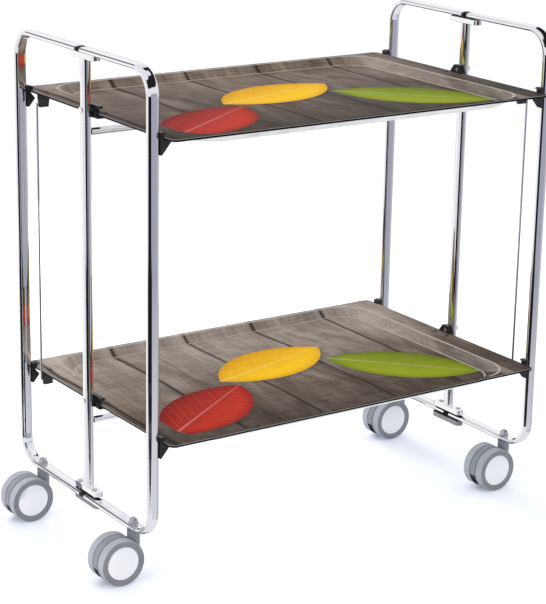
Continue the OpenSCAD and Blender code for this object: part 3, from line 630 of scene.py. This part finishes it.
# Two drawn steel wires link the trays, so that they tilt together: one at the left rear and one
# at the right front, each with a hook turned in at either end.
HOOK_TIP = 0.0008


def wire_path(low, high, x, side, arm, bend=0.003, steps=8):
    """Hook, bend, straight, bend, hook in the XZ plane: line, quarter circle, line, quarter circle, line."""
    turn = np.linspace(0, math.pi / 2, steps + 1)
    foot = np.stack([x - side * bend * (1 - np.sin(turn)), low + bend * (1 - np.cos(turn))], 1)
    head = np.stack([x - side * bend * (1 - np.cos(turn)), high - bend * (1 - np.sin(turn))], 1)
    tail, near = x - side * arm, x - side * (arm - HOOK_TIP)
    return np.vstack([[[tail, low], [near, low]], foot, head, [[near, high], [tail, high]]])


wire = chrome_finish("drawn_wire", (0.62, 0.63, 0.66), 0.12)
for side, sx in (("left", -1), ("right", 1)):
    low_corner, high_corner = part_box(f"{side}_link_rod")
    radius = (high_corner.y - low_corner.y) / 2
    outer = low_corner.x if sx < 0 else high_corner.x
    x = outer - sx * radius
    arm = high_corner.x - low_corner.x - radius
    line = wire_path(low_corner.z + radius, high_corner.z - radius, x, sx, arm)
    ahead = np.gradient(line, axis=0)
    ahead /= np.linalg.norm(ahead, axis=1, keepdims=True)
    angle = np.linspace(0, 2 * math.pi, 20, endpoint=False)
    size = np.full(len(line), radius)
    size[[0, -1]] = radius * 0.6
    rings = np.empty((len(line), 20, 3))
    rings[..., 0] = line[:, None, 0] - ahead[:, None, 1] * size[:, None] * np.cos(angle)
    rings[..., 1] = (low_corner.y + high_corner.y) / 2 + size[:, None] * np.sin(angle)
    rings[..., 2] = line[:, None, 1] + ahead[:, None, 0] * size[:, None] * np.cos(angle)
    piece = skin(f"{side}_link_wire", rings, wire, body_of[f"{side}_link_rod"], 50)
    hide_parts(f"{side}_link_rod")


# Black corner brackets on the legs carry the trays' corners: a gusset under the rim and a lip
# over it, moulded in one and fixed to the leg's inner face.
for corner in corners:
    softened(f"{corner}_brackets", f"{corner}_tray_rests", 0.0008, black_plastic)


# Each caster turns on a bolt with a domed chrome nut on top of the bar. Its grey moulded housing
# is a neck and a thin hood between the two wheels.
caster_grey = moulded_finish("caster_grey", (0.255, 0.268, 0.30), 0.42, 700.0)
# The nut's plate is darker than the bars': a painted shade for the darker things it mirrors.
shaded_nut_chrome = chrome_finish("shaded_nut_chrome", (0.52, 0.52, 0.55), 0.05)
# The hood's low back is painted black: a painted shade for the shadow seen through its open back.
painted_shade_back = moulded_finish("painted_shade_back", (0.012, 0.012, 0.014), 0.6, 600.0)
PAINTED_SHADE_BACK_TOP = 0.0245


def at_painted_shade_back(face, middle):
    """The hood's low edge behind the axle, painted black as a painted shade for its shadowed open back."""
    at = face.calc_center_median()
    return at.z < PAINTED_SHADE_BACK_TOP and at.x < middle.x


for corner in corners:
    bolt = cad[f"{corner}_caster_bolt"]
    bolt.data.materials.clear()
    bolt.data.materials.append(shaded_nut_chrome)
    softened(f"{corner}_caster_housing", f"{corner}_caster_hood", 0.0006, caster_grey,
             inside=painted_shade_back, chosen=at_painted_shade_back)
    axle = cad[f"{corner}_axle"]
    axle.data.materials.clear()
    axle.data.materials.append(turned_steel)


# A wheel is a grey moulded ring with a rounded tread and a shallow step on its face, and a
# bright domed disc is pressed into it.
# One grey in a lit and a shaded copy: the tread's lighter grey is painted light, the face's darker grey painted
# shade.
wheel_grey = moulded_finish("wheel_grey", (0.40, 0.42, 0.46), 0.46, 600.0)
shaded_wheel_face = moulded_finish("shaded_wheel_face", (0.235, 0.24, 0.265), 0.46, 600.0)
# The wheels' inner faces are painted black: a painted shade in the gap between the two wheels.
painted_shade_hollow = moulded_finish("painted_shade_hollow", (0.012, 0.012, 0.014), 0.6, 600.0)
# The disc is mostly a white diffuse coat over a little mirror: a painted reflection of the bright studio.
painted_bright_disc = chrome_finish("painted_bright_disc", (0.95, 0.955, 0.97), 0.03)
painted_bright_disc.node_tree.nodes["Principled BSDF"].inputs["Metallic"].default_value = 0.3
CASTER_FROM_MIDDLE = 0.125
AXLE_BORE = 0.00305
TREAD_EDGE = 0.0012
FACE_STEP = 0.0006
DISC_RADIUS = 0.023
DISC_SEAT = 0.002
DISC_GAP = 0.0002


def arc(centre, radius, start, end, steps):
    """Points of a circular arc, from one angle in degrees to another."""
    angle = np.radians(np.linspace(start, end, steps))
    return [(centre[0] + radius * math.cos(a), centre[1] + radius * math.sin(a)) for a in angle]


def wheel_profile(radius, inner, outer, disc, bore):
    """Half section of a wheel, as (radius, distance across): up the inner face, over the tread and down
    the outer face to the disc's seat."""
    shoulder, step, lip = radius - TREAD_EDGE, outer - FACE_STEP, outer - 0.0001
    return ([(bore, inner), (shoulder, inner)] + arc((shoulder, inner + TREAD_EDGE), TREAD_EDGE, -80, 0, 5)
            + [(radius, inner + 0.006)] + arc((shoulder, outer - TREAD_EDGE), TREAD_EDGE, 0, 82, 6)
            + [(radius - 0.0026, outer), (radius - 0.0031, step), (disc + 0.0018, step),
               (disc + 0.0012, lip), (disc + 0.0003, lip), (disc, outer - 0.0005),
               (disc, outer - DISC_SEAT), (bore, outer - DISC_SEAT)])


def disc_profile(radius, back, front):
    """A shallow dome with a rolled rim: its height falls as the square of the distance from the middle."""
    share = np.linspace(0, 1, 10)
    dome = [(max(0.0002, radius * 0.94 * s), front - 0.0005 * s * s) for s in share]
    return dome + arc((radius - 0.0007, front - 0.0012), 0.0007, 60, 0, 4) + [(radius, back)]


for corner, sy in corners.items():
    for face, way in (("near", -1), ("far", 1)):
        node = f"{corner}_{face}_wheel"
        low_corner, high_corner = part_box(node)
        radius = (high_corner.z - low_corner.z) / 2
        plane = sy * CASTER_FROM_MIDDLE
        centre = ((low_corner.x + high_corner.x) / 2, plane, (low_corner.z + high_corner.z) / 2)
        inner, outer = sorted((abs(low_corner.y - plane), abs(high_corner.y - plane)))
        body = body_of[node]
        tyre = [(r, way * d) for r, d in wheel_profile(radius, inner, outer, DISC_RADIUS, AXLE_BORE)]
        # From the bore outwards: the inner face, painted black as a painted shade between the wheels, then the
        # tread, then the outer face.
        bands = [2] * 4 + [0] * 8 + [1] * (len(tyre) - 13)
        piece = turned(f"{node}_ring", tyre, centre, 1, wheel_grey, body, 72, 30, bands,
                       (shaded_wheel_face, painted_shade_hollow))
        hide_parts(node)
        disc = disc_profile(DISC_RADIUS - DISC_GAP, outer - DISC_SEAT + 0.0001, outer - DISC_GAP)
        cap = [(r, way * d) for r, d in disc]
        turned(f"{node}_disc", cap, centre, 1, painted_bright_disc, body, 64, 50)


# The photograph's view: a long lens from the left front, a little above the cart, with its
# angles in degrees. The studio is plain and white, with dark flags that only the chrome mirrors.
VIEW_PLACE = (-1.498981, -2.209355, 1.099675)
VIEW_HEADING, VIEW_TILT, VIEW_ROLL = 55.6843, -16.7083, 1.0672
FOCAL_PIXELS = 2001.308
PHOTO_HEIGHT = 604
camera = bpy.data.objects.new("photograph_view", bpy.data.cameras.new("photograph_view"))
bpy.context.scene.collection.objects.link(camera)
bpy.context.scene.camera = camera
camera.data.sensor_width = 36.0
camera.data.lens = FOCAL_PIXELS / PHOTO_HEIGHT * camera.data.sensor_width
camera.data.clip_end = 50.0
heading, tilt, roll = (math.radians(a) for a in (VIEW_HEADING - 90, VIEW_TILT + 90, VIEW_ROLL))
turn = Matrix.Rotation(heading, 4, "Z") @ Matrix.Rotation(tilt, 4, "X") @ Matrix.Rotation(roll, 4, "Z")
camera.matrix_world = Matrix.Translation(VIEW_PLACE) @ turn

bpy.context.scene.view_settings.view_transform = "Standard"

floor_mesh = bpy.data.meshes.new("studio_floor")
floor_mesh.from_pydata([(-9, -9, 0), (9, -9, 0), (9, 9, 0), (-9, 9, 0)], [], [(0, 1, 2, 3)])
floor = bpy.data.objects.new("studio_floor", floor_mesh)
bpy.context.scene.collection.objects.link(floor)
paper = new_finish("white_paper", Base_Color=(0.90, 0.895, 0.90, 1), Roughness=0.9, Specular_IOR_Level=0.1,
                   Emission_Color=(0.50, 0.66, 0.90, 1), Emission_Strength=0.21)
floor_mesh.materials.append(paper)
floor.visible_glossy = False

# Each flag: headings from and to in degrees about +Z, heights from and to, how soft its edge is, its grey.
FLAGS = (
    (96.0, 170.0, -27.0, 4.0, 3.0, (0.97, 0.97, 0.98)),
    (40.0, 75.0, 6.0, 27.0, 3.0, (0.94, 0.94, 0.96)),
    (296.0, 318.0, -40.0, -16.0, 3.0, (0.66, 0.67, 0.72)),
    (279.0, 318.0, -18.5, 6.0, 5.0, (0.37, 0.375, 0.45)),
    (318.0, 362.0, -40.0, -6.0, 3.0, (0.50, 0.50, 0.54)),
    (227.0, 284.0, -17.0, -1.0, 1.0, (0.010, 0.010, 0.012)),
    (210.0, 293.5, -19.6, -15.6, 1.0, (0.012, 0.012, 0.014)),
    (226.0, 293.5, -20.6, -19.0, 1.0, (0.012, 0.012, 0.014)),
    (242.0, 290.0, -21.6, -20.2, 1.0, (0.012, 0.012, 0.014)),
    (255.0, 283.0, -22.6, -21.2, 1.0, (0.012, 0.012, 0.014)),
    (243.0, 362.0, 26.0, 58.0, 2.0, (0.014, 0.014, 0.016)),
    (-2.0, 42.0, 26.0, 58.0, 2.0, (0.014, 0.014, 0.016)),
    (84.0, 114.0, 22.0, 38.0, 2.0, (0.11, 0.11, 0.12)),
    (46.0, 66.0, -30.0, 3.0, 2.0, (0.16, 0.16, 0.18)),
    (50.0, 116.0, -62.0, -28.0, 2.0, (0.05, 0.05, 0.06)),
)
studio = bpy.data.worlds.new("studio")
bpy.context.scene.world = studio
studio.use_nodes = True
sky = studio.node_tree


def sky_node(kind, *links, **settings):
    """A node of the studio's world, whose inputs are linked in order or set to numbers."""
    node = sky.nodes.new("ShaderNode" + kind)
    for key, value in settings.items():
        setattr(node, key, value)
    for k, value in enumerate(links):
        if isinstance(value, (int, float, tuple)):
            node.inputs[k].default_value = value
        elif value is not None:
            sky.links.new(value, node.inputs[k])
    return node


way = sky_node("SeparateXYZ", sky_node("TexCoord").outputs["Generated"])
heading = sky_node("Math", way.outputs["Y"], way.outputs["X"], operation="ARCTAN2").outputs[0]
heading = sky_node("Math", heading, 2 * math.pi, operation="ADD").outputs[0]
heading = sky_node("Math", heading, 2 * math.pi, operation="MODULO").outputs[0]
height = sky_node("Math", way.outputs["Z"], operation="ARCSINE").outputs[0]
colour = (0.80, 0.80, 0.84, 1.0)
for first, last, low, high, soft, grey in FLAGS:
    share = 1.0
    for angle, start, end in ((heading, first, last), (height, low, high)):
        middle, reach = math.radians(start + end) / 2, math.radians(end - start) / 2
        off = sky_node("Math", angle, middle, operation="SUBTRACT").outputs[0]
        off = sky_node("Math", off, operation="ABSOLUTE").outputs[0]
        blur = math.radians(soft) / 2
        inside = sky_node("MapRange", off, reach - blur, reach + blur, 1.0, 0.0).outputs[0]
        share = sky_node("Math", share, inside, operation="MULTIPLY").outputs[0]
    colour = sky_node("MixRGB", share, colour, (*grey, 1.0)).outputs[0]
mirrored = sky_node("LightPath").outputs["Is Glossy Ray"]
colour = sky_node("MixRGB", mirrored, (1.0, 1.0, 1.0, 1.0), colour).outputs[0]
sky.links.new(colour, sky.nodes["Background"].inputs["Color"])
sky.nodes["Background"].inputs["Strength"].default_value = 1.0

# Each softbox: its name, place, size and power in watts. All of them look at the cart's middle.
SOFTBOXES = (
    ("overhead_softbox", (-0.5, 0.3, 2.6), 2.2, 6.0),
    ("left_softbox", (-2.6, -0.3, 1.6), 1.4, 10.0),
    ("rear_softbox", (0.3, 1.7, 0.62), 1.0, 22.0),
)
for name, spot, size, power in SOFTBOXES:
    lamp = bpy.data.objects.new(name, bpy.data.lights.new(name, "AREA"))
    bpy.context.scene.collection.objects.link(lamp)
    lamp.data.shape, lamp.data.size, lamp.data.energy = "SQUARE", size, power
    lamp.location = spot
    lamp.rotation_euler = (Vector((0, 0, 0.3)) - lamp.location).to_track_quat("-Z", "Y").to_euler()
    lamp.visible_glossy = False
